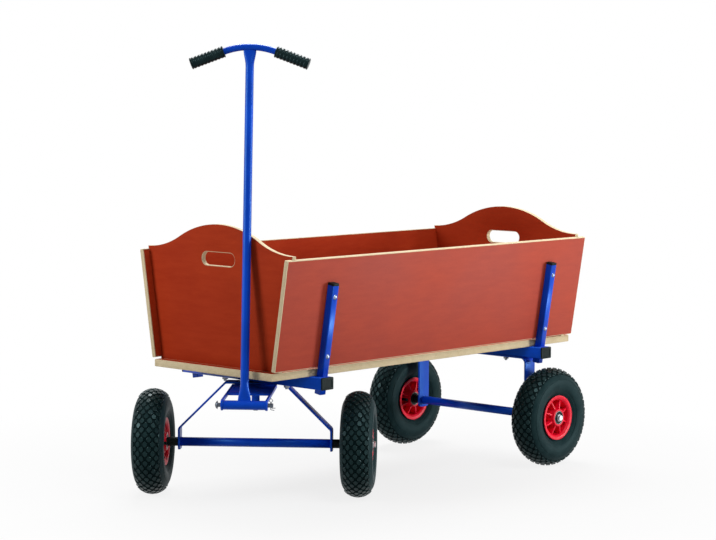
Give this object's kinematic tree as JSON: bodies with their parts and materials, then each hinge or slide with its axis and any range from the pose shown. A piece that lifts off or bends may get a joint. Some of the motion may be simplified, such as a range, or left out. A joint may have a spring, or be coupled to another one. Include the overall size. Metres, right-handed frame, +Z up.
{
  "type": "beach wagon",
  "caption": "Plywood beach wagon with leaning sides, wavy end boards with hand slots, a steered front axle, a folding steel drawbar with rubber grips, and pneumatic wheels.",
  "frame": {"origin": "On the ground, in the middle of the wagon's bounding box.", "axes": "+Z is up, the front of the wagon faces -Y, and its left side is +X."},
  "size_m": [0.5906, 1.2552, 1.1014],
  "materials": {
    "film_faced_plywood": "red-brown phenolic film, satin; bare pale edges",
    "blue_powder_coat": "gloss ultramarine powder coat",
    "black_plastic": "moulded, satin",
    "black_rubber": "soft, matt",
    "tyre_rubber": "moulded, matt",
    "red_plastic": "moulded, glossy",
    "zinc_plated_steel": "bright zinc",
    "bearing_steel": "ground, dark seals"
  },
  "bodies": {
    "chassis": {"bed_board": "film_faced_plywood", "left_side_board": "film_faced_plywood", "right_side_board": "film_faced_plywood", "front_board": "film_faced_plywood", "rear_board": "film_faced_plywood", "front_bolster": "blue_powder_coat", "rear_bolster": "blue_powder_coat", "bolster_plugs": "black_plastic", "front_left_stake": "blue_powder_coat", "front_right_stake": "blue_powder_coat", "rear_left_stake": "blue_powder_coat", "rear_right_stake": "blue_powder_coat", "stake_caps": "black_plastic", "stake_bolts": "zinc_plated_steel", "stake_sleeve_nuts": "zinc_plated_steel", "bed_bolts": "zinc_plated_steel", "bed_flange_nuts": "zinc_plated_steel", "kingpin": "zinc_plated_steel", "kingpin_washer": "zinc_plated_steel", "kingpin_lock_nut": "zinc_plated_steel", "turntable_washer": "black_plastic", "rear_axle_bracket": "blue_powder_coat", "rear_axle_tube": "blue_powder_coat", "rear_axle_rod": "zinc_plated_steel", "rear_axle_sleeves": "black_plastic", "rear_bearing_spacers": "zinc_plated_steel", "rear_bearing_inner_rings": "bearing_steel", "rear_axle_bolts": "zinc_plated_steel"},
    "steering": {"axle_hoop": "blue_powder_coat", "front_axle_tube": "blue_powder_coat", "front_axle_rod": "zinc_plated_steel", "front_axle_sleeves": "black_plastic", "front_bearing_spacers": "zinc_plated_steel", "front_bearing_inner_rings": "bearing_steel", "front_axle_bolts": "zinc_plated_steel", "drawbar_yoke": "blue_powder_coat", "kingpin_sleeve": "blue_powder_coat", "hitch_pin": "zinc_plated_steel", "split_pin": "zinc_plated_steel"},
    "drawbar": {"drawbar_pole": "blue_powder_coat", "pivot_tube": "blue_powder_coat", "handlebar": "blue_powder_coat", "left_grip": "black_rubber", "right_grip": "black_rubber"},
    "front_left_wheel": {"front_left_tyre": "tyre_rubber", "front_left_inner_tube": "black_rubber", "front_left_rim": "red_plastic", "front_left_bearings": "bearing_steel"},
    "front_right_wheel": {"front_right_tyre": "tyre_rubber", "front_right_inner_tube": "black_rubber", "front_right_rim": "red_plastic", "front_right_bearings": "bearing_steel"},
    "rear_left_wheel": {"rear_left_tyre": "tyre_rubber", "rear_left_inner_tube": "black_rubber", "rear_left_rim": "red_plastic", "rear_left_bearings": "bearing_steel"},
    "rear_right_wheel": {"rear_right_tyre": "tyre_rubber", "rear_right_inner_tube": "black_rubber", "rear_right_rim": "red_plastic", "rear_right_bearings": "bearing_steel"}
  },
  "joints": [
    {"name": "steering_turn", "type": "hinge", "parent": "chassis", "child": "steering", "pos_m": [0, -0.35786, 0.3315], "axis": [0, 0, 1], "range_deg": [-77.6, 0]},
    {"name": "drawbar_fold", "type": "hinge", "parent": "steering", "child": "drawbar", "pos_m": [0.14412, -0.53711, 0.256], "axis": [0.7793, 0.6266, 0], "range_deg": [0, 114]},
    {"name": "front_left_roll", "type": "hinge", "parent": "steering", "child": "front_left_wheel", "pos_m": [0.19717, -0.19933, 0.13], "axis": [0.7793, 0.6266, 0], "continuous": true},
    {"name": "front_right_roll", "type": "hinge", "parent": "steering", "child": "front_right_wheel", "pos_m": [-0.19717, -0.51639, 0.13], "axis": [0.7793, 0.6266, 0], "continuous": true},
    {"name": "rear_left_roll", "type": "hinge", "parent": "chassis", "child": "rear_left_wheel", "pos_m": [0.253, 0.48014, 0.13], "axis": [1, 0, 0], "continuous": true},
    {"name": "rear_right_roll", "type": "hinge", "parent": "chassis", "child": "rear_right_wheel", "pos_m": [-0.253, 0.48014, 0.13], "axis": [1, 0, 0], "continuous": true}
  ]
}
